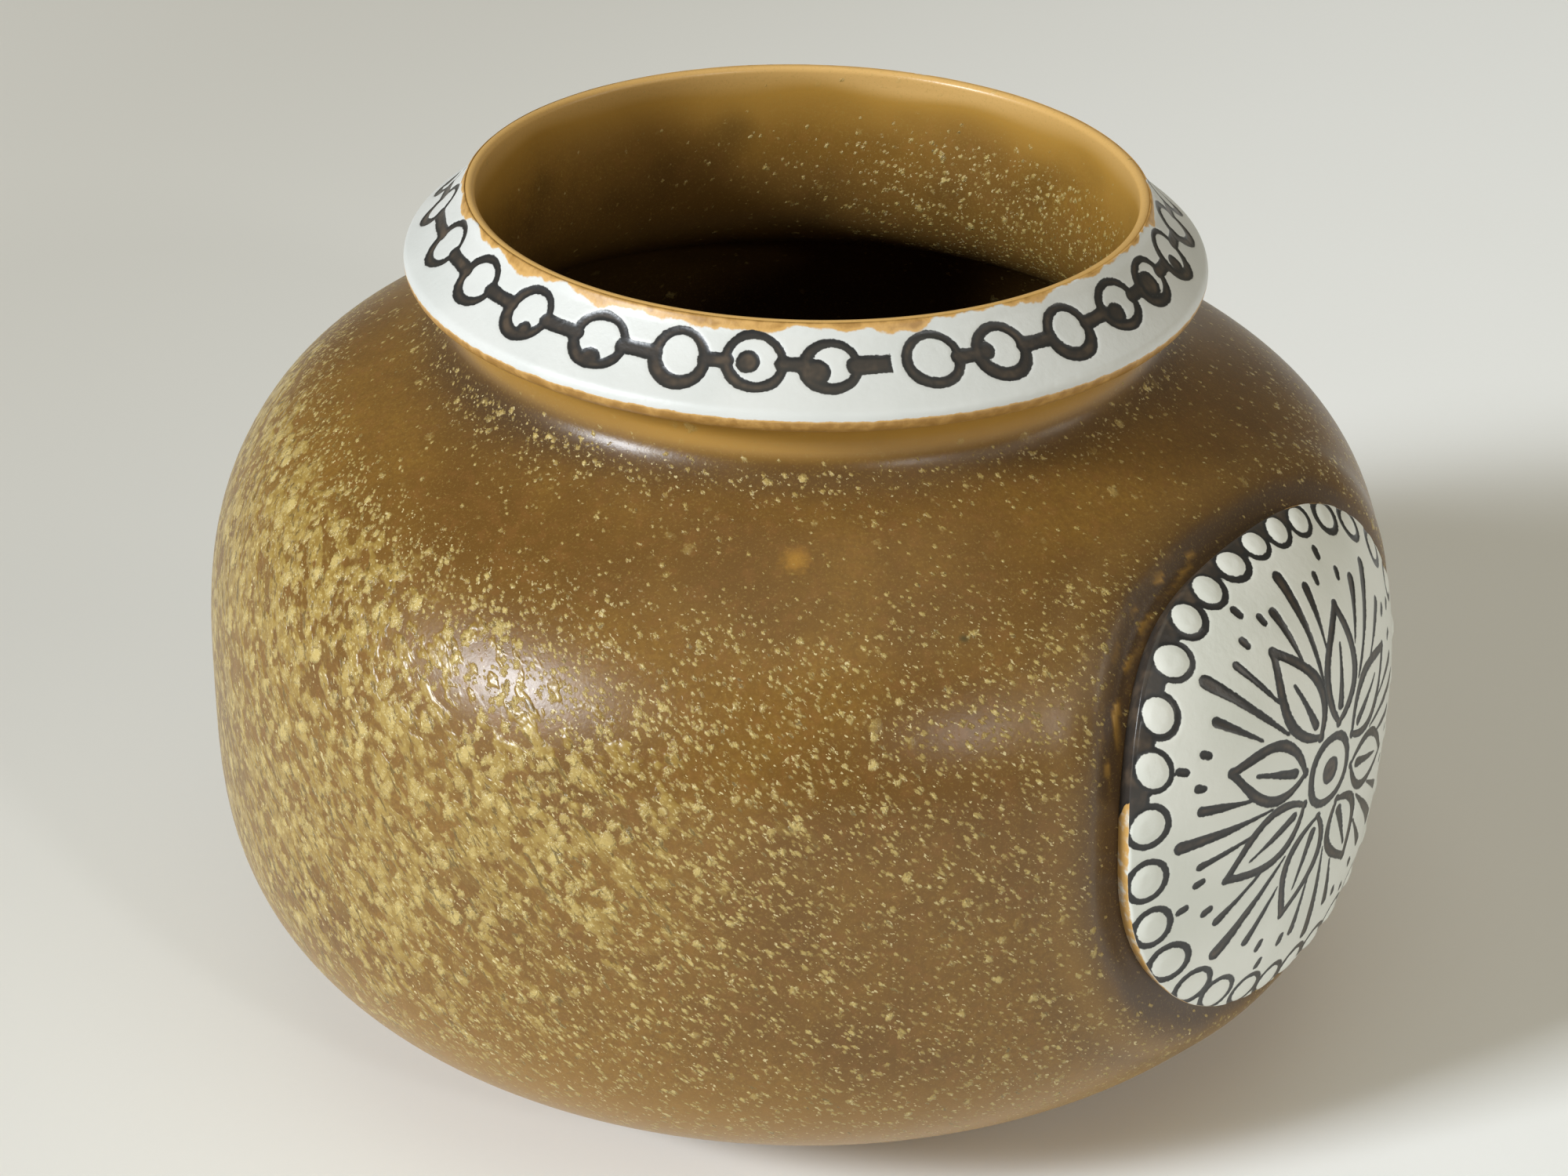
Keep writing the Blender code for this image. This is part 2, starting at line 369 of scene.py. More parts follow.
def between(tree, value, low, high, toLow=0.0, toHigh=1.0, smoothed=True):
    # The value carried over from low..high to toLow..toHigh, and held beyond them
    kind = "SMOOTHSTEP" if smoothed else "LINEAR"
    node = addNode(tree, "MapRange", {"Value": value, "From Min": low, "From Max": high,
                                      "To Min": toLow, "To Max": toHigh}, interpolation_type=kind)
    return node.outputs["Result"]


def blend(tree, factor, a, b, mode="MIX"):
    node = addNode(tree, "Mix", {0: factor, 6: a, 7: b}, data_type="RGBA", blend_type=mode)
    return node.outputs[2]


def noise(tree, coords, size, detail=2.0, roughness=0.5, distortion=0.0):
    # Noise whose features are about size metres across
    node = addNode(tree, "TexNoise", {"Vector": coords, "Scale": 1 / size, "Detail": detail,
                                      "Roughness": roughness, "Distortion": distortion})
    return node.outputs["Fac"]


def attribute(tree, name):
    return addNode(tree, "Attribute", attribute_name=name).outputs["Fac"]


def newMaterial(name):
    # A material with its node tree, its shader and the piece's own coordinates
    material = bpy.data.materials.new(name)
    material.use_nodes = True
    tree = material.node_tree
    shader = tree.nodes["Principled BSDF"]
    coords = addNode(tree, "TexCoord").outputs["Object"]
    return material, tree, shader, coords


def finishShader(tree, shader, color, rough, height, depth, strength):
    # The colour, roughness and relief of a surface go to its shader
    relief = addNode(tree, "Bump", {"Height": height, "Distance": depth, "Strength": strength})
    tree.links.new(color, shader.inputs["Base Color"])
    tree.links.new(rough, shader.inputs["Roughness"])
    tree.links.new(relief.outputs[0], shader.inputs["Normal"])


def newGroup(name, inputs, outputs):
    # A node group with its named sockets, its inner inputs and its inner outputs
    group = bpy.data.node_groups.new(name, "ShaderNodeTree")
    for key, kind in inputs:
        group.interface.new_socket(name=key, in_out="INPUT", socket_type="NodeSocket" + kind)
    for key, kind in outputs:
        group.interface.new_socket(name=key, in_out="OUTPUT", socket_type="NodeSocket" + kind)
    start = group.nodes.new("NodeGroupInput").outputs
    end = group.nodes.new("NodeGroupOutput").inputs
    return group, start, end


crystalForm = {
    "edgeSize": 2.2,  # bumps of a crystal's outline in one cell
    "edgeShift": 0.95,  # how far they move it, in cells
    "leastRadius": 0.16,  # in cells
    "radiusSpread": 0.27,
    "crowdedGrowth": 0.24,
    "softChance": 0.03,
    "softRim": (-0.05, 0.12),
    "core": 0.3,
}


def crystalGroup():
    # Crystals in a glaze: space is cut into cells of one size, each with its own random numbers.
    # A cell holds a crystal where its number is under the density, out to an uneven radius.
    group, start, end = newGroup("glazeCrystals",
                                 [("Vector", "Vector"), ("Size", "Float"), ("Density", "Float")],
                                 [("Mask", "Float"), ("Tone", "Float"), ("Core", "Float")])
    scale = calc(group, "DIVIDE", 1.0, start["Size"])
    uneven = addNode(group, "TexNoise", {"Vector": start["Vector"],
                                         "Scale": times(group, scale, crystalForm["edgeSize"]),
                                         "Detail": 3.0, "Roughness": 0.65})
    shift = addNode(group, "VectorMath", {0: uneven.outputs["Color"], 1: (0.5, 0.5, 0.5)},
                    operation="SUBTRACT").outputs[0]
    reach = times(group, start["Size"], crystalForm["edgeShift"])
    moved = addNode(group, "VectorMath", {0: shift, "Scale": reach}, operation="SCALE").outputs[0]
    place = addNode(group, "VectorMath", {0: start["Vector"], 1: moved}, operation="ADD").outputs[0]
    cells = addNode(group, "TexVoronoi", {"Vector": place, "Scale": scale, "Randomness": 1.0})
    chance = addNode(group, "SeparateColor", {0: cells.outputs["Color"]})
    enough = calc(group, "SUBTRACT", start["Density"], chance.outputs[0])
    there = between(group, enough, -crystalForm["softChance"], crystalForm["softChance"])
    radius = timesPlus(group, chance.outputs[1], crystalForm["radiusSpread"], crystalForm["leastRadius"])
    radius = timesPlus(group, start["Density"], crystalForm["crowdedGrowth"], radius)
    inside = calc(group, "SUBTRACT", radius, cells.outputs["Distance"])
    group.links.new(times(group, between(group, inside, *crystalForm["softRim"]), there), end["Mask"])
    group.links.new(chance.outputs[2], end["Tone"])
    group.links.new(between(group, inside, 0.0, crystalForm["core"]), end["Core"])
    return group


brush = {
    "oxide": rgb(40, 40, 40),
    "thinOxide": rgb(84, 72, 60),
    "raggedSize": 0.55 * mm,
    "raggedDepth": 0.34,  # in mm, as the distances are
    "softEdge": 0.07,
    "patchSize": 2.6 * mm,
    "amber": rgb(204, 160, 92),  # where the body's glaze has run over the white
    "deepAmber": rgb(162, 120, 58),
    "relief": 0.06 * mm,
    "roughness": 0.42,
}


def inkGroup():
    # Brushed oxide: a signed distance in mm becomes a line with a slightly ragged edge; the
    # oxide is thin and brown in patches
    group, start, end = newGroup("brushedOxide", [("Vector", "Vector"), ("Distance", "Float")],
                                 [("Mask", "Float"), ("Thin", "Float")])
    ragged = calc(group, "SUBTRACT", noise(group, start["Vector"], brush["raggedSize"], 3.0, 0.6), 0.5)
    edge = timesPlus(group, ragged, brush["raggedDepth"], start["Distance"])
    group.links.new(between(group, edge, brush["softEdge"], -brush["softEdge"]), end["Mask"])
    patchy = noise(group, start["Vector"], brush["patchSize"], 2.0, 0.6)
    middle = between(group, start["Distance"], -0.25, -0.8)
    thin = between(group, patchy, 0.4, 0.72, 0.25, 1.0)
    group.links.new(times(group, thin, middle), end["Thin"])
    return group


crystals = crystalGroup()
brushwork = inkGroup()
print("node groups made")


glaze = {
    "brown": rgb(132, 97, 38),
    "darkBrown": rgb(106, 74, 28),
    "rust": rgb(132, 90, 44),
    "amber": rgb(176, 133, 58),
    "amberPale": rgb(214, 172, 104),
    # dark brown for pooled glaze and for painted shade
    "pooledAndShade": rgb(80, 59, 36),
    # near black painted shade down inside the pot, also its darker patches
    "shadeAndMottle": rgb(46, 31, 15),
    "crust": rgb(145, 117, 55),
    "crystal": rgb(164, 138, 72),
    "crystalPale": rgb(194, 171, 106),
    # the colour of the painted glints
    "glint": rgb(220, 204, 152),
    "gap": rgb(88, 66, 28),
    "bareClay": rgb(150, 120, 92),
    "roughness": 0.32,
    "bareRoughness": 0.45,  # added to it on the bare foot
    "specular": 0.45,
    "crystalRelief": 0.12 * mm,
    "cloudSize": 24 * mm,
    "grainSize": 0.7 * mm,
    "clumpSize": 6 * mm,
    "rustSize": 2.4 * mm,
    "blotchSize": 5 * mm,
    "holeSize": 3.6 * mm,
    "crustSize": 2.3 * mm,
    "shineSize": 0.42 * mm,
    "sparkSize": 0.6 * mm,
    "slitSize": 1.15 * mm,
    "dustSize": 0.32 * mm,
    # Layers of crystals: how they lie, where they are, cell size, share of the density, strength
    "layers": (("leaning", "few", 0.65 * mm, 1.5, 0.8),
               ("leaning", "few", 0.95 * mm, 1.4, 0.9),
               ("loose", "dense", 1.5 * mm, 0.7, 0.85),
               ("loose", "crowded", 2.3 * mm, 1.3, 0.9)),
    "fullest": 0.6,  # the most that a layer's density comes to
    # Chance spots: place in mm, radius in mm, colour and strength
    "spots": (((-0.65, -59.5, 92.5), 2.6, rgb(194, 142, 50), 0.45),
              ((19.9, -67.0, 86.2), 0.9, rgb(58, 56, 26), 0.8)),
    "slant": 8.5,  # the crystals lean as the glaze ran: radians of turn for each metre of height
    "crystalStretch": 1.1,
    "slitStretch": 2.2,
}


def slanted(tree, coords, stretch):
    # Coordinates twisted round the axis and squeezed in height, so that features lean and lengthen
    height = addNode(tree, "SeparateXYZ", {0: coords}).outputs[2]
    turned = addNode(tree, "VectorRotate", {"Vector": coords,
                                            "Angle": times(tree, height, glaze["slant"])},
                     rotation_type="Z_AXIS").outputs[0]
    return addNode(tree, "VectorMath", {0: turned, 1: (1, 1, 1 / stretch)},
                   operation="MULTIPLY").outputs[0]


def brownGlaze(tree, coords, loose, cloud, grain):
    # Brown with darker clouds, grains and blotches and rusty flecks; amber where it is thin, paler
    # amber where thinnest and as a painted highlight inside, dark where it pools and where shade is
    # painted in the moat, on the right shoulder and down inside
    amber = attribute(tree, "amber")
    color = blend(tree, between(tree, cloud, 0.35, 0.68), glaze["brown"], glaze["darkBrown"])
    grainy = times(tree, between(tree, grain, 0.35, 0.65), 0.5)
    color = blend(tree, grainy, color, glaze["darkBrown"])
    rusty = noise(tree, loose, glaze["rustSize"], 4.0, 0.7)
    color = blend(tree, between(tree, rusty, 0.48, 0.66, 0.0, 0.35), color, glaze["rust"])
    blotch = noise(tree, coords, glaze["blotchSize"], 4.0, 0.65)
    color = blend(tree, between(tree, blotch, 0.5, 0.68, 0.0, 0.4), color, glaze["darkBrown"])
    thin = times(tree, amber, between(tree, cloud, 0.25, 0.6, 0.75, 1.0))
    color = blend(tree, thin, color, glaze["amber"])
    color = blend(tree, between(tree, amber, 1.0, 1.5), color, glaze["amberPale"])
    color = blend(tree, attribute(tree, "pooledAndShade"), color, glaze["pooledAndShade"])
    return blend(tree, attribute(tree, "shadeAndMottle"), color, glaze["shadeAndMottle"])


def crystalCrust(tree, color, flow, loose, dense):
    # Where crystals crowd they run together: a crust with holes, and how far it stands up
    hole = between(tree, noise(tree, flow, glaze["holeSize"], 2.0, 0.55), 0.54, 0.6, 1.0, 0.15)
    crust = noise(tree, flow, glaze["crustSize"], 1.8, 0.5)
    limit = timesPlus(tree, dense, -0.4, 0.73)
    past = calc(tree, "SUBTRACT", crust, limit)
    mask = between(tree, past, -0.04, 0.05)
    mask = times(tree, mask, between(tree, dense, 0.24, 0.46))
    mask = times(tree, mask, hole)
    dome = times(tree, between(tree, past, -0.04, 0.16), mask)
    under = noise(tree, loose, 1.6 * mm, 3.0, 0.6)
    tone = blend(tree, between(tree, under, 0.36, 0.64), glaze["crust"], glaze["crystal"])
    return blend(tree, times(tree, mask, 0.85), color, tone), mask, dome


def crystalLayers(tree, color, mask, dome, lies, places):
    # Single crystals over the crust, layer by layer, each paler at its core
    for lie, place, size, share, strength in glaze["layers"]:
        density = calc(tree, "MINIMUM", times(tree, places[place], share), glaze["fullest"])
        layer = addNode(tree, "Group", {"Vector": lies[lie], "Size": size, "Density": density},
                        node_tree=crystals).outputs
        tone = timesPlus(tree, layer["Core"], 0.45, times(tree, layer["Tone"], 0.55))
        tint = blend(tree, tone, glaze["crystal"], glaze["crystalPale"])
        faint = timesPlus(tree, layer["Tone"], 0.35, strength - 0.22)
        layerMask = times(tree, layer["Mask"], faint)
        color = blend(tree, layerMask, color, tint)
        mask = calc(tree, "MAXIMUM", mask, layerMask)
        raised = times(tree, times(tree, layer["Core"], layerMask), size / mm)
        dome = calc(tree, "MAXIMUM", dome, raised)
    return color, mask, dome


def paintedGlints(tree, color, flow, mask, dense, density):
    # Painted glints: pale flecks on the crystals, and sparks of their own where some crystals are, that
    # stand in for crystals catching the light
    shine = noise(tree, flow, glaze["shineSize"], 2.0, 0.55)
    glint = times(tree, between(tree, shine, 0.58, 0.67), mask)
    glint = times(tree, glint, between(tree, dense, 0.2, 0.7, 1.0, 0.45))
    spark = between(tree, noise(tree, flow, glaze["sparkSize"], 2.0, 0.55), 0.66, 0.7)
    spark = times(tree, spark, between(tree, density, 0.08, 0.18))
    glint = calc(tree, "MAXIMUM", glint, spark)
    return blend(tree, times(tree, glint, 0.75), color, glaze["glint"])


def glazeMaterial():
    # Matt brown glaze under crystals, with dark slits between them and fine dust over all
    material, tree, shader, coords = newMaterial("crystalGlaze")
    density = attribute(tree, "crystals")
    bare = attribute(tree, "bare")
    flow = slanted(tree, coords, glaze["crystalStretch"])
    loose = addNode(tree, "VectorMath", {0: coords, 1: (1, 1, 0.88)}, operation="MULTIPLY").outputs[0]
    cloud = noise(tree, coords, glaze["cloudSize"], 3.0, 0.55)
    grain = noise(tree, coords, glaze["grainSize"], 3.0, 0.6)
    clump = noise(tree, coords, glaze["clumpSize"], 3.0, 0.6)
    patch = between(tree, clump, 0.3, 0.72, -0.3, 0.3, False)
    dense = timesPlus(tree, density, patch, density)
    crowded = times(tree, dense, between(tree, dense, 0.3, 0.55))
    few = times(tree, dense, between(tree, dense, 0.3, 0.55, 1.0, 0.15))
    color = brownGlaze(tree, coords, loose, cloud, grain)
    color, mask, dome = crystalCrust(tree, color, flow, loose, dense)
    color, mask, dome = crystalLayers(tree, color, mask, dome, {"leaning": flow, "loose": loose},
                                      {"few": few, "dense": dense, "crowded": crowded})
    color = paintedGlints(tree, color, flow, mask, dense, density)
    slits = noise(tree, slanted(tree, coords, glaze["slitStretch"]), glaze["slitSize"], 3.0, 0.6, 0.6)
    slit = times(tree, between(tree, slits, 0.56, 0.66), between(tree, mask, 0.1, 0.6))
    color = blend(tree, times(tree, slit, 0.7), color, glaze["gap"])
    dust = noise(tree, coords, glaze["dustSize"], 2.0, 0.6)
    color = blend(tree, between(tree, dust, 0.55, 0.72, 0.0, 0.3), color, glaze["crystal"])
    color = blend(tree, bare, color, glaze["bareClay"])
    for place, reach, tone, share in glaze["spots"]:
        near = addNode(tree, "VectorMath", {0: coords, 1: tuple(v * mm for v in place)},
                       operation="DISTANCE").outputs["Value"]
        near = timesPlus(tree, calc(tree, "SUBTRACT", grain, 0.5), reach * mm, near)
        color = blend(tree, between(tree, near, reach * mm, 0.0, 0.0, share), color, tone)
    shader.inputs["Specular IOR Level"].default_value = glaze["specular"]
    rough = timesPlus(tree, mask, -0.04, glaze["roughness"])
    rough = timesPlus(tree, bare, glaze["bareRoughness"], rough)
    height = timesPlus(tree, mask, 0.3, dome)
    height = timesPlus(tree, grain, 0.25, height)
    height = timesPlus(tree, slit, -0.4, height)
    finishShader(tree, shader, color, rough, height, glaze["crystalRelief"], 0.8)
    return material


flowing = {
    # The crowded crystals' slanting edge: levels in mm, and the turn that it has reached at each
    "edgeLevels": (14, 22, 30, 40, 50, 60, 69, 76, 82, 89, 95),
    "edgeTurns": (-66, -44, -32, -22, -15, -12, -14, -17, -30, -53, -86),
    "edgeWidth": (28, 34),  # degrees to its right and to its left over which they come to crowd
    "crowded": 0.52,  # the crystals' density where they crowd, and how much it drifts there
    "drift": 0.12,
    "behind": 0.75,  # the share of it on the back
    "field": 0.15,  # elsewhere below the neck, on top of the least
    "least": 0.06,
    "cove": 98.0,  # the level of the neck's cove, in mm
    # Where the glaze ran thick or thin, where crystals are, and where shade and light are painted, as turns
    # and how wide they are
    "thickLeft": (-52, 26),
    "crystalsLeft": (-42, 24),
    # painted shade on the right shoulder, with darker glaze
    "shadeRight": (88, 42),
    # painted shade on the inside's left wall
    "shadedWallLeft": (-95, 45),
    # the inside's lit right wall, with less painted shade and a few crystals
    "litWallRight": (140, 80),
    "sprinkledRight": (126, 48),
    # where the inside's lip has a painted highlight
    "highlightRight": (158, 16),
    "wallRadius": 44.0,  # in mm, to lay the inside's unevenness out by
    "moatBelow": 8 * mm,  # the moat and ridge are only between these levels
    "moatAbove": 99 * mm,
    "bareBelow": 2.2,
    # The uneven shoulder: turn, its width, level, its width and rise
    "highLeft": (-92, 42, 91 * mm, 9 * mm, 0.8 * mm),
    "lowRight": (108, 30, 92 * mm, 8 * mm, -0.9 * mm),
}


def bumpAt(turn, place):
    # A bell round a turn, place being that turn and the bell's width
    return bump(turnBy(turn, place[0]), 0, place[1])


def crystalDensity(turn, z):
    # Crystals crowd the left and low side up to a slanting edge, and thin out to the right
    turn = turnBy(turn, 0)
    level = z / mm
    edge = np.interp(level, flowing["edgeLevels"], flowing["edgeTurns"])
    back = np.abs(turnBy(turn, 180))
    before, after = flowing["edgeWidth"]
    crowd = smooth(turn, edge + before, edge - after) * smooth(back, 6, 62)
    behind = smooth(back, 74, 34) * smooth(level, 88, 66) * smooth(level, 12, 26)
    drift = wobble(np.radians(turn) * 80, level, 38.0, 41) * smooth(back, 0, 12)
    ring = bump(level, flowing["cove"], 2.8) * (0.09 + 0.1 * bumpAt(turn, flowing["crystalsLeft"]))
    calm = smooth(level, 93, 84)
    crowded = flowing["crowded"] + flowing["drift"] * drift
    crowded = np.maximum(crowd, flowing["behind"] * behind) * crowded
    return flowing["least"] + (flowing["field"] + crowded) * calm + ring


def outerGlaze(turn, r, z, onBelly, across, along, gap):
    # Outside: crystals down to the moat, amber on the cove, the ridge and the foot, brown pooled in
    # the cove and the moat, and painted shade in the moat's hollow and on the right shoulder. Values
    # of density, amber, pooledAndShade, shadeAndMottle and bare.
    level = z / mm
    gapMm = gap / mm
    density = crystalDensity(turn, z) * smooth(level, 101.5, 98.5)
    density = density * (1 - 0.8 * np.where(onBelly, smooth(gapMm, 6, 3), 0))
    aspect = np.degrees(np.arctan2(along, across)) % 360
    low = smooth(aspect, 175, 205) * smooth(aspect, 300, 270)
    ridge = np.where(onBelly, (0.2 + 0.6 * low) * bump(gapMm, 7.8, 2.6), 0)
    foot = 0.8 * smooth(level, 36, 10) * smooth(r / mm, 47, 56)
    amber = np.maximum(np.maximum(smooth(level, 99.5, 102.0), ridge), foot)
    cove = 0.55 * bump(level, flowing["cove"] + 0.6, 2.2)
    cove += 0.45 * bump(level, flowing["cove"], 4.5) * bumpAt(turn, flowing["thickLeft"])
    # Painted shade, with darker glaze, low on the right shoulder
    cove += 0.35 * bumpAt(turn, flowing["shadeRight"]) * bump(level, 93, 7)
    # Darker round the medallion: pooled glaze, and painted shade in the moat's hollow
    ragged = gapMm + 1.1 * wobble(across / mm, along / mm, 11.0, 31)
    moat = 0.55 * smooth(ragged, 17, 5) + 0.45 * smooth(ragged, 5.6, 2.8)
    pooledAndShade = np.maximum(cove, np.where(onBelly, moat, 0))
    # Orange runs of thin glaze along the moat, on its upper left
    run = bump(gapMm, 2.2, 1.5) * smooth(aspect, 96, 106) * smooth(aspect, 172, 156)
    run *= np.where(onBelly, smooth(wobble(aspect * 0.6, gapMm * 2, 6.0, 12), 0.05, 0.3), 0)
    bare = np.where((level < flowing["bareBelow"]) & (r < pot["footRadius"] + mm), 1.0, 0.0)
    return density, np.maximum(amber, 1.3 * run), pooledAndShade * (1 - 0.85 * run), np.zeros_like(z), bare


def innerGlaze(turn, z):
    # Inside: amber at the lip with a painted highlight at the back right, brown below it, and painted
    # shade that is dark on the left wall, nearly black far down and less on the lit right wall, with
    # uneven darker patches and a sprinkling of crystals on the right. Values of density, amber,
    # pooledAndShade, shadeAndMottle and bare.
    depth = 118 - z / mm
    arc = np.radians(turn) * flowing["wallRadius"]
    right = bumpAt(turn, flowing["litWallRight"])
    density = 0.18 * bumpAt(turn, flowing["sprinkledRight"]) + 0.05 * right
    density = density * smooth(depth, 4, 12) * smooth(depth, 46, 30)
    runs = 2.6 * wobble(arc, z / mm, 26.0, 14)
    # Pale amber at the lip, paler at the back right, where it is a painted highlight
    pale = 0.55 * smooth(depth + 0.3 * runs, 5.5, 0) * (0.75 + 0.6 * bumpAt(turn, flowing["highlightRight"]))
    amber = (0.2 + 0.8 * smooth(depth + runs, 11, 2)) * smooth(depth, 46, 18) + pale
    # Darker brown below the lip, less on the lit right wall, which is painted light
    pooledAndShade = 0.5 * smooth(depth + runs, 10, 17) * (1 - 0.4 * right)
    # Painted shade: dark on the left wall, nearly black far down and less on the lit right wall, with
    # uneven darker patches on top
    shadeAndMottle = 0.45 * bumpAt(turn, flowing["shadedWallLeft"]) * smooth(depth, 3, 14)
    shadeAndMottle += 0.9 * smooth(depth, 32, 50) * (1 - 0.4 * right)
    mottle = wobble(arc, z / mm, 15.0, 23) + 0.7 * wobble(arc, z / mm, 7.0, 29)
    shadeAndMottle += 0.3 * np.maximum(mottle, 0) * smooth(depth, 3, 9) * smooth(depth, 62, 40)
    return density, amber, pooledAndShade, np.minimum(shadeAndMottle, 0.95), np.zeros_like(z)


def buildBody():
    # The section turned round the axis, then pushed out or in along its own normal: in for the
    # medallion's pocket and moat, out for the ridge round them, and both for an uneven shoulder
    curves = potCurve()
    line = join(*curves)
    middle, reach = medal["turn"], pot["fineTurn"]
    close = np.linspace(middle - reach, middle + reach, pot["fineColumns"])
    wide = np.linspace(middle + reach, middle + 360 - reach, pot["farColumns"])[1:-1]
    turns = np.concatenate([close, wide])
    normal = outOf(line)
    shape = (len(line), len(turns))
    lipTop = len(curves[0]) + pot["lipPoints"] // 2
    r = np.broadcast_to(line[:, :1], shape)
    z = np.broadcast_to(line[:, 1:], shape)
    turn = np.broadcast_to(turns, shape)
    side = np.broadcast_to((np.arange(len(line)) > lipTop)[:, None], shape)
    across, along, edge = medalPlace(turn, r, z)
    gap = (edge - 1) * medal["halfWidth"]
    onBelly = side & (z > flowing["moatBelow"]) & (z < flowing["moatAbove"])
    push = -medal["pocketDepth"] * smooth(gap, medal["moatWidth"] + medal["moatLip"], medal["moatFoot"])
    push += pot["ridgeRise"] * bump(gap, pot["ridgeReach"], pot["ridgeWidth"])
    push = np.where(onBelly & (gap < pot["ridgeEnd"]), push, 0)
    for place, width, level, height, rise in (flowing["highLeft"], flowing["lowRight"]):
        push += np.where(side, rise * bumpAt(turn, (place, width)) * bump(z, level, height), 0)
    points = roundAxis(np.radians(turn), r + push * normal[:, :1], z + push * normal[:, 1:])
    points = np.vstack([points, (0, 0, line[0, 1]), (0, 0, line[-1, 1])])
    faces = [gridFaces(*shape)] + poleFaces(*shape)
    values = {}
    names = ("crystals", "amber", "pooledAndShade", "shadeAndMottle", "bare")
    outer = outerGlaze(turn, r, z, onBelly, across, along, gap)
    for name, outside, inside in zip(names, outer, innerGlaze(turn, z)):
        value = np.where(side, outside, inside)
        values[name] = np.concatenate([value.ravel(), [value[0, 0], value[-1, 0]]])
    return makeMesh("glazed_body", points, faces, values, glazeMaterial())


body = buildBody()
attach(body, "root")
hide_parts("thrown_body")
print("body:", len(body.data.polygons), "faces")


collar = {
    "radius": 54.0 * mm,
    "edgeRise": 3.2 * mm,
    "edgeRound": 2.0 * mm,
    "topDrop": 0.9 * mm,
    "hollow": 0.25 * mm,
    "columns": 960,
    "ringLevel": 113.75 * mm,
    "ringRadius": 3.25 * mm,
    "stroke": 1.45 * mm,
    "barThick": 2.3 * mm,
    "lineDepth": 0.14 * mm,
    "unevenness": 0.03 * mm,
    "plainRows": 8,  # unpainted, where the flare turns in underneath
    "gap": 0.3 * mm,
    "white": rgb(213, 214, 210),
    "whiteShade": rgb(204, 206, 202),
    "lastRing": 7,  # the chain breaks after this ring, where the bar ends free
    "freeBar": 4.4,
    # Turns of the rings that the front shows
    "frontRings": (-89.9, -73.6, -58.9, -45.1, -31.2, -18.2, -7.3, 3.7, 18.7, 29.5, 42.0, 54.2,
                   65.0, 76.5, 88.7),
    "backRings": 14,
    # Dabs of oxide inside some front rings: ring, heading in degrees, reach in mm, radius in mm
    "dabs": ((3, -70, 2.3, 1.1), (4, -95, 2.6, 1.5), (6, 190, 0.8, 1.5), (7, 205, 1.9, 1.7),
             (9, 170, 2.1, 1.2), (11, 215, 1.5, 1.5), (12, 200, 0.7, 1.9), (13, 235, 1.5, 1.4)),
}


def collarCurve():
    # From over the lip's outer half down the flare, round the lower edge, in along the cove to
    # the ledge and up the bore: arcs joined by Beziers
    bore = pot["spigotRadius"] - collar["gap"]
    bottom = pot["ledgeLevel"] - 0.1 * mm
    lipMiddle = (pot["mouthRadius"] + pot["spigotRadius"]) / 2
    crest = arcOf((lipMiddle, pot["lipLevel"]), 0.93 * mm, 58, 18, 6)
    top = np.array((pot["spigotRadius"] + 0.7 * mm, pot["lipLevel"] - collar["topDrop"]))
    centre = (collar["radius"] - collar["edgeRound"], pot["ledgeLevel"] + collar["edgeRise"])
    edge = arcOf(centre, collar["edgeRound"], 40, -100, 30)
    handle = (top + edge[0]) / 2 - (collar["hollow"], collar["hollow"])
    over = bend(crest[-1], crest[-1] + (0.25 * mm, -0.45 * mm), top - (0.35 * mm, -0.4 * mm), top, 8)
    flare = join(crest, over, bend(top, handle, handle, edge[0]), edge)
    under = bend(edge[-1], edge[-1] - (1.4 * mm, 0), (pot["ledgeRadius"], bottom + 1.1 * mm),
                 (pot["ledgeRadius"], bottom))
    back = np.array([(bore, bottom), (bore, bottom + 6 * mm), (bore, pot["lipLevel"])])
    return spaced(flare, 0.3 * mm), join(spaced(under, 0.7 * mm), back)


def chainDistance(turn, along, middleRadius):
    # Signed distance in mm to the chain, laid out flat: the least of the distances to its rings,
    # to the bars between them and to the dabs inside some
    random = np.random.default_rng(11)
    front = np.array(collar["frontRings"])
    rest = np.linspace(front[-1], front[0] + 360, collar["backRings"] + 2)[1:-1]
    centres = np.concatenate([front, rest + random.uniform(-0.6, 0.6, len(rest))])
    count = len(centres)
    sizes = collar["ringRadius"] / mm * random.uniform(0.93, 1.07, count)
    lifts = random.uniform(-0.3, 0.3, count)
    strokes = collar["stroke"] / mm * random.uniform(0.85, 1.15, count)
    u0 = np.radians(turn) * middleRadius / mm
    total = 2 * math.pi * middleRadius / mm
    v0 = along / mm
    drawn = []
    places = np.radians(centres) * middleRadius / mm
    for index in range(count):
        u = (u0 - places[index] + total / 2) % total - total / 2
        v = v0 - lifts[index]
        far = np.hypot(u, v)
        tilt = np.arctan2(v, u)
        phase = random.uniform(0, 2 * math.pi)
        radius = sizes[index] * (1 + 0.05 * np.cos(2 * tilt + phase))
        width = strokes[index] * (1 + 0.26 * np.cos(tilt - 4.1) + 0.08 * np.sin(tilt + phase))
        drawn.append(np.abs(far - radius) - width / 2)
        for ringIndex, heading, reach, dabRadius in collar["dabs"]:
            if index in (ringIndex, ringIndex + len(front)):
                aim = math.radians(heading)
                drawn.append(np.hypot(u - reach * math.cos(aim), v - reach * math.sin(aim)) - dabRadius)
        following = (index + 1) % count
        span = (places[following] - places[index]) % total
        free = index == collar["lastRing"]
        stop = sizes[index] + collar["freeBar"] if free else span - sizes[following]
        t = np.clip(u / span, sizes[index] / span, stop / span)
        rise = lifts[following] - lifts[index]
        bar = np.hypot(u - t * span, v - t * rise)
        thick = collar["barThick"] / mm / 2 * (0.85 + 0.3 * np.abs(t - 0.5))
        if free:
            thick = thick * 1.2
            bar = np.maximum(bar, thick + u - stop)
        drawn.append(bar - thick)
    return np.minimum.reduce(drawn) + 0.09 * wobble(u0, v0, 5.0, 3)


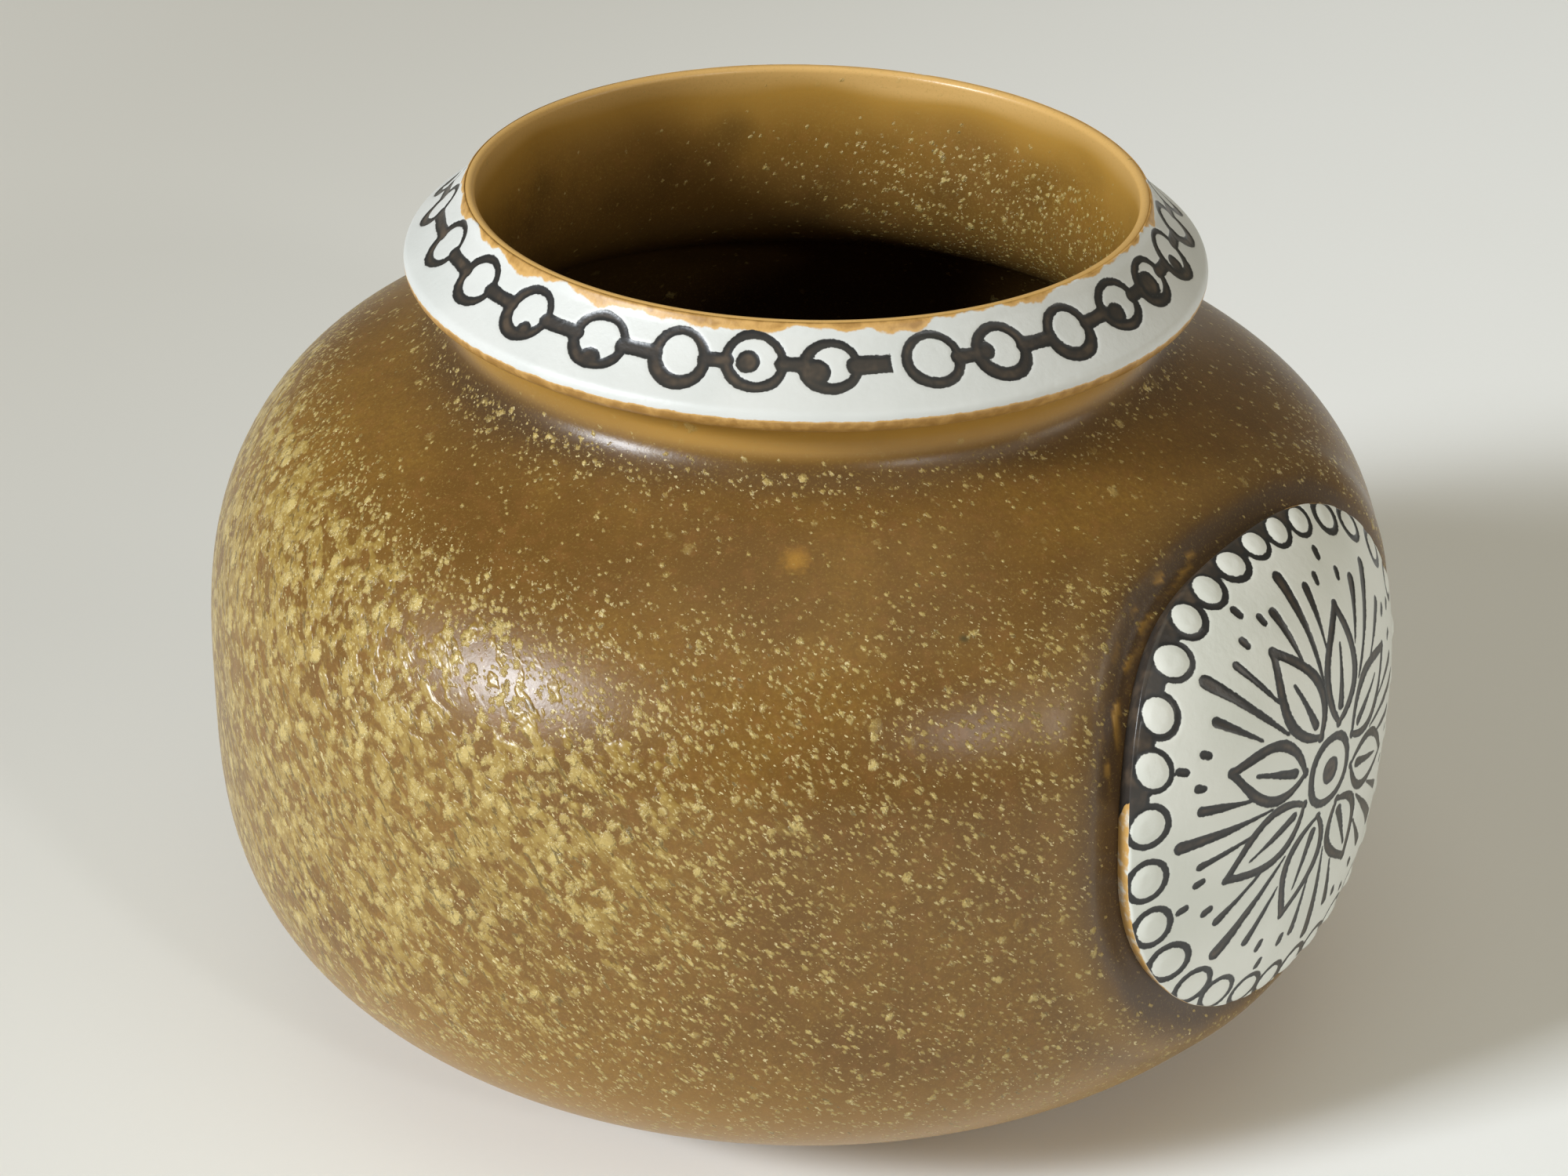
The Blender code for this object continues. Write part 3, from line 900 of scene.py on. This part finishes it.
def whiteMaterial(name, white, shade):
    # Satin white glaze with brushed oxide, and amber where the body's glaze runs over an edge
    material, tree, shader, coords = newMaterial(name)
    ink = addNode(tree, "Group", {"Vector": coords, "Distance": attribute(tree, "ink")},
                  node_tree=brushwork).outputs
    cloud = noise(tree, coords, 18 * mm, 2.0, 0.5)
    fine = noise(tree, coords, 0.9 * mm, 2.0, 0.6)
    color = blend(tree, between(tree, cloud, 0.35, 0.7), white, shade)
    runs = noise(tree, coords, 1.8 * mm, 3.0, 0.6)
    amber = calc(tree, "ADD", attribute(tree, "amber"), between(tree, runs, 0.3, 0.7, -0.32, 0.32, False))
    amberTone = blend(tree, between(tree, amber, 0.8, 1.5), brush["amber"], brush["deepAmber"])
    color = blend(tree, between(tree, amber, 0.35, 0.75), color, amberTone)
    inkTone = blend(tree, ink["Thin"], brush["oxide"], brush["thinOxide"])
    color = blend(tree, ink["Mask"], color, inkTone)
    rough = timesPlus(tree, ink["Mask"], -0.1, brush["roughness"])
    peel = noise(tree, coords, 1.5 * mm, 2.0, 0.5)
    height = timesPlus(tree, peel, 1.6, timesPlus(tree, ink["Mask"], -0.5, fine))
    finishShader(tree, shader, color, rough, height, brush["relief"], 0.5)
    return material


def buildCollar():
    # The section turned round the axis, with the brushed lines pressed in a little
    flare, back = collarCurve()
    line = join(flare, back)
    turns = np.linspace(-180, 180, collar["columns"], endpoint=False)
    shape = (len(line), len(turns))
    lengths = curveLengths(line)
    ringRow = np.interp(-collar["ringLevel"], -flare[:, 1], lengths[:len(flare)])
    normal = outOf(line)
    turn = np.broadcast_to(turns, shape)
    along = np.broadcast_to((ringRow - lengths)[:, None], shape)
    ink = chainDistance(turn, along, np.interp(ringRow, lengths, line[:, 0]))
    onFlare = np.arange(len(line)) < len(flare) - collar["plainRows"]
    ink = np.where(onFlare[:, None], ink, 5.0)
    push = -collar["lineDepth"] * smooth(ink, 0.25, -0.35)
    push += collar["unevenness"] * wobble(np.radians(turn) * 50, along / mm, 14.0, 8)
    points = roundAxis(np.radians(turn), line[:, :1] + push * normal[:, :1],
                       line[:, 1:] + push * normal[:, 1:])
    faces = gridFaces(*shape)
    seam = (len(line) - 1) * len(turns)
    j = np.arange(len(turns))
    k = (j + 1) % len(turns)
    closing = np.column_stack([seam + j, j, k, seam + k])
    # Amber runs in from the lip in uneven drips, and edges the flare below
    fromTop = np.broadcast_to((lengths / mm)[:, None], shape)
    onEdge = (lengths / mm > 5) & (line[:, 1] < 109 * mm)
    around = np.radians(turn) * pot["spigotRadius"] / mm
    drips = 1.5 * wobble(around, 0 * turn, 13.0, 17) + 0.8 * wobble(around, 0 * turn, 4.5, 6)
    drips += 0.5 * bumpAt(turn, (-16, 34)) - 0.6 * bumpAt(turn, (45, 26))
    amber = 1.15 * smooth(fromTop - np.maximum(drips, -0.7), 1.45, 0.1)
    edging = 1.5 * smooth(line[:, 1:] / mm, 108.9, 108.2) - 0.2
    amber = np.where(onEdge[:, None], edging, amber)
    return makeMesh("white_collar", points, [faces, closing], {"ink": ink, "amber": amber},
                    whiteMaterial("collarWhite", collar["white"], collar["whiteShade"]))


ring = buildCollar()
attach(ring, "root")
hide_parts("collar_ring")
print("collar:", len(ring.data.polygons), "faces")


rosette = {
    # In mm on the medallion laid out flat
    "eye": 1.9,
    "eyeRing": (4.6, 0.65),  # radius and half its line
    "leaves": 8,
    "leaf": (6.4, 20.5, 3.7),  # start, end and half its width
    "midrib": (8.6, 16.4),
    # Strokes between the leaves and dots outside them: spread in radians, reach and width
    "strokes": ((-0.17, 24.6, 1.4), (0, 27.6, 1.9), (0.17, 24.6, 1.4)),
    "dots": ((-0.1, 24.6), (0.1, 24.6), (0, 27.6)),
    "innerReach": 12.5,
}


def capsule(x, y, ax, ay, bx, by, startWidth, endWidth):
    # Signed distance to a tapered stroke: how far the nearest place of the line from a to b is,
    # less half the stroke's width there
    dx, dy = bx - ax, by - ay
    t = np.clip(((x - ax) * dx + (y - ay) * dy) / (dx * dx + dy * dy), 0, 1)
    return np.hypot(x - ax - t * dx, y - ay - t * dy) - (startWidth + (endWidth - startWidth) * t) / 2


def spoke(x, y, turn, start, stop, startWidth, endWidth):
    # A stroke along one radius
    return capsule(x, y, start * math.cos(turn), start * math.sin(turn),
                   stop * math.cos(turn), stop * math.sin(turn), startWidth, endWidth)


def rosetteDistance(x, y):
    # Signed distance in mm to a brushed rosette: an eye in a ring, leaves with midribs, fans of
    # tapered strokes between the leaves, and dots outside them
    random = np.random.default_rng(5)
    far = np.hypot(x, y)
    ringRadius, ringHalf = rosette["eyeRing"]
    strokes = [far - rosette["eye"], np.abs(far - ringRadius) - ringHalf]
    leaves = rosette["leaves"]
    start, end, wide = rosette["leaf"]
    for index in range(leaves):
        turn = 2 * math.pi * (index + 0.5) / leaves + random.uniform(-0.03, 0.03)
        out = x * math.cos(turn) + y * math.sin(turn)
        aside = -x * math.sin(turn) + y * math.cos(turn)
        stop = end + random.uniform(-0.8, 0.8)
        half = wide * np.sin(math.pi * np.clip((out - start) / (stop - start), 0, 1) ** 0.8)
        past = np.maximum(np.maximum(start - out, out - stop), 0)
        strokes.append(np.hypot(np.abs(aside) - half, past) - random.uniform(0.62, 0.85))
        ribStart, ribEnd = rosette["midrib"]
        ribEnd += random.uniform(-0.8, 0.8)
        strokes.append(capsule(out, aside, ribStart, 0, ribEnd, 0.2, 1.5, 0.5))
        for spread, reach, width in rosette["strokes"]:
            angle = turn + math.pi / leaves + spread + random.uniform(-0.02, 0.02)
            inner = rosette["innerReach"] + 4.0 * abs(spread) / 0.17
            width *= random.uniform(0.9, 1.2)
            strokes.append(spoke(x, y, angle, inner, reach, 0.45, width))
        for spread, reach in rosette["dots"]:
            angle = turn + spread + random.uniform(-0.015, 0.015)
            strokes.append(spoke(x, y, angle, reach, reach + 0.9, 1.1, 1.25))
    return np.minimum.reduce(strokes) + 0.12 * wobble(x, y, 6.0, 21)


def pearlDistance(x, y):
    # Signed distance in mm to the dark ground round the pearls: a ring about each, and on the
    # upper left one dark band that holds them all. Also the distance to the pearls themselves.
    random = np.random.default_rng(9)
    far = np.hypot(x, y)
    turn = np.degrees(np.arctan2(y, x)) % 360
    rings = np.full(x.shape, 50.0)
    discs = np.full(x.shape, 50.0)
    for index in range(medal["pearls"]):
        place = 2 * math.pi * (index + 0.5) / medal["pearls"]
        place += medal["pearlDrift"] * math.sin(2 * place) + random.uniform(-0.012, 0.012)
        wide = 1 + 0.14 * math.cos(place - math.radians(195))
        radius = medal["pearlRadius"] / mm * wide * random.uniform(0.95, 1.06)
        reach = medal["halfWidth"] / mm - 0.25 - radius + random.uniform(-0.1, 0.1)
        px, py = reach * math.cos(place), reach * math.sin(place)
        tilt = np.arctan2(y - py, x - px)
        phase = random.uniform(0, 2 * math.pi)
        pearl = np.hypot(x - px, y - py) - radius * (1 + 0.05 * np.cos(2 * tilt + phase))
        discs = np.minimum(discs, pearl)
        width = random.uniform(0.8, 1.1)
        rings = np.minimum(rings, np.abs(pearl - width / 2) - width / 2)
    inDark = smooth(turn, 66, 76) * smooth(turn, 178, 166)
    band = 32.4 + 0.5 * wobble(np.radians(turn) * 31, 0 * far, 9.0, 4) - far
    ground = np.maximum(band, -discs)
    ground = np.where(inDark > 0.5, ground, 50.0)
    return np.minimum(rings, ground), discs


def buildMedallion():
    # A disc of rows and spokes: over the dome, whose height falls with the square of the reach,
    # round the edge, down the side and back under. It is stretched from a circle to the
    # superellipse and wrapped on the belly: across goes round the axis, along goes up the
    # section, and height stands out along the belly's normal.
    edge = medal["edgeRound"]
    full = medal["halfWidth"]
    count = medal["edgeSteps"]
    radius = np.linspace(0, 1, medal["domeSteps"])[1:] * (full - edge)
    top = medal["rimRise"] + medal["crownRise"]
    dome = medal["rimRise"] + medal["crownRise"] * (1 - (radius / full) ** 2)
    foot = -medal["pocketDepth"] - 0.2 * mm
    down = np.radians(np.linspace(0, 90, count))[1:]
    under = full * np.array([0.9, 0.7, 0.5, 0.3, 0.12])
    radii = np.concatenate([radius, full - edge + edge * np.sin(down), np.full(count - 1, full), under])
    heights = np.concatenate([dome, dome[-1] - edge + edge * np.cos(down),
                              np.linspace(dome[-1] - edge, foot, count)[1:], np.full(len(under), foot)])
    spokes = np.linspace(0, 2 * math.pi, medal["spokes"], endpoint=False)
    shape = (len(radii), len(spokes))
    reach, angle = np.meshgrid(radii, spokes, indexing="ij")
    x = reach * np.cos(angle)
    y = reach * np.sin(angle)
    ground, pearls = pearlDistance(x / mm, y / mm)
    ink = np.minimum(rosetteDistance(x / mm, y / mm), ground)
    onTop = (np.arange(len(radii)) < len(radius) + 3)[:, None]
    height = heights[:, None] - np.where(onTop, medal["lineDepth"] * smooth(ink, 0.25, -0.35), 0)
    height = height + np.where(onTop, medal["pearlRise"] * smooth(pearls, 0.1, -1.2), 0)
    # The side is dark at the upper left and amber from the left on down
    past = curveLengths(np.column_stack([radii, heights])) / mm
    below = np.broadcast_to((past - past[len(radius)])[:, None], shape)
    amber = 1.35 * smooth(below, -0.1, 0.5) - 0.6
    sideInk = (np.abs(turnBy(np.degrees(angle), 119)) - 46) * 0.6 - 1.4 * below
    sideInk += 1.4 * wobble(angle * full / mm, past[:, None] * 4 + 0 * angle, 6.0, 15)
    ink = np.where(below < 0.4, ink, sideInk)

    power = medal["power"]
    stretch = (np.abs(np.cos(angle)) ** power + np.abs(np.sin(angle)) ** power) ** (-1 / power)
    across = x * stretch
    place = medalLevel + y * stretch * medal["halfHeight"] / full

    def at(place, axis):
        return np.interp(place, meridianLengths, meridian[:, axis])

    rise = np.stack([at(place + 1.5 * mm, k) - at(place - 1.5 * mm, k) for k in (0, 1)], -1)
    rise /= np.linalg.norm(rise, axis=-1, keepdims=True)
    r = at(place, 0)
    middle = math.radians(medal["turn"])
    points = roundAxis(middle + across / r, r + height * rise[..., 1], at(place, 1) - height * rise[..., 0])
    centres = roundAxis(middle, at(medalLevel, 0) + np.array([top, foot]),
                        np.full(2, pot["bellyLevel"] + medal["rise"]))
    values = {"ink": np.concatenate([ink.ravel(), [-1.5, 5.0]]),
              "amber": np.concatenate([amber.ravel(), [-1.0, 1.0]])}
    return makeMesh("domed_medallion", np.vstack([points, centres]),
                    [gridFaces(*shape)] + poleFaces(*shape), values,
                    whiteMaterial("medallionWhite", medal["white"], medal["whiteShade"]))


badge = buildMedallion()
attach(badge, "root")
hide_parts("medallion")
print("medallion:", len(badge.data.polygons), "faces")


stage = {
    "size": 16.0,
    "color": rgb(251, 252, 251),
    "shade": rgb(243, 244, 240),
    # painted shade towards the back left
    "far": rgb(218, 216, 209),
    "grainSize": 1.2 * mm,
    "cloudSize": 90 * mm,
    "roughness": 0.75,
}


def buildFloor():
    # Pale paper, with painted shade that makes it a little darker towards the back left
    half = stage["size"] / 2
    mesh = bpy.data.meshes.new("floor")
    mesh.from_pydata([(-half, -half, 0), (half, -half, 0), (half, half, 0), (-half, half, 0)], [],
                     [(0, 1, 2, 3)])
    material, tree, shader, coords = newMaterial("paperFloor")
    grain = noise(tree, coords, stage["grainSize"], 2.0, 0.6)
    cloud = noise(tree, coords, stage["cloudSize"], 2.0, 0.5)
    color = blend(tree, timesPlus(tree, cloud, 0.3, times(tree, grain, 0.2)),
                  stage["color"], stage["shade"])
    x, y = addNode(tree, "SeparateXYZ", {0: coords}).outputs[:2]
    # Painted shade: darker towards the back left
    left = timesPlus(tree, x, -1.3, times(tree, y, 0.5))
    color = blend(tree, between(tree, left, -0.1, 0.4), color, stage["far"])
    tree.links.new(color, shader.inputs["Base Color"])
    shader.inputs["Roughness"].default_value = stage["roughness"]
    mesh.materials.append(material)
    return addObject("floor", mesh)


floor = buildFloor()


view = {
    "lens": 79.2,
    "sensor": 36.0,
    "distance": 0.49016,
    "elevation": 28.56,
    "roll": 1.20,
    "target": (-0.0020088, 0.0, 0.0562452),
    "clipStart": 0.01,
}


def addCamera():
    # As the photograph's: it looks along +Y and down, and is rolled a little
    lift, roll = math.radians(view["elevation"]), math.radians(view["roll"])
    forward = Vector((0, math.cos(lift), -math.sin(lift)))
    right = Vector((1, 0, 0))
    up = right.cross(forward)
    x = math.cos(roll) * right + math.sin(roll) * up
    y = -math.sin(roll) * right + math.cos(roll) * up
    data = bpy.data.cameras.new("camera")
    data.lens = view["lens"]
    data.sensor_width = view["sensor"]
    data.clip_start = view["clipStart"]
    camera = addObject("camera", data)
    turn = Matrix((x, y, -forward)).transposed().to_4x4()
    camera.matrix_world = Matrix.Translation(Vector(view["target"]) - forward * view["distance"]) @ turn
    bpy.context.scene.camera = camera


# Each lamp: turn and height of the direction it comes from, distance, width, height, power, colour
lamps = {
    "window": (-58.5, 28.0, 4.00, 0.86, 0.86, 163.0, (0.95, 1.0, 1.06)),
    "secondWindow": (33.0, 26.0, 1.80, 0.13, 0.13, 3.4, (0.98, 0.99, 1.0)),
    "doorway": (83.0, 14.0, 1.80, 0.40, 0.40, 2.2, (1.0, 0.96, 0.88)),
    "paleWall": (56.0, 32.0, 2.00, 1.40, 0.80, 3.5, (1.0, 0.98, 0.92)),
    "ceiling": (20.0, 80.0, 2.20, 1.80, 1.80, 7.6, (1.0, 0.93, 0.74)),
}
ambient = {
    "color": (1.0, 0.92, 0.7, 1),
    "strength": 0.17,
}


def addLamps():
    # Each lamp faces a point at mid height on the pot's axis
    for name, (turn, height, distance, width, tall, power, color) in lamps.items():
        data = bpy.data.lights.new(name, "AREA")
        data.shape = "RECTANGLE"
        data.size, data.size_y = width, tall
        data.energy = power
        data.color = color
        lamp = addObject(name, data)
        a, b = math.radians(turn), math.radians(height)
        away = Vector((math.sin(a) * math.cos(b), -math.cos(a) * math.cos(b), math.sin(b)))
        lamp.location = Vector((0, 0, 0.06)) + away * distance
        lamp.rotation_euler = away.to_track_quat("Z", "Y").to_euler()
    world = bpy.data.worlds.new("room")
    world.use_nodes = True
    background = world.node_tree.nodes["Background"]
    background.inputs["Color"].default_value = ambient["color"]
    background.inputs["Strength"].default_value = ambient["strength"]
    bpy.context.scene.world = world


addCamera()
addLamps()
bpy.context.scene.view_settings.view_transform = "Standard"
print("stage, camera and lamps set")
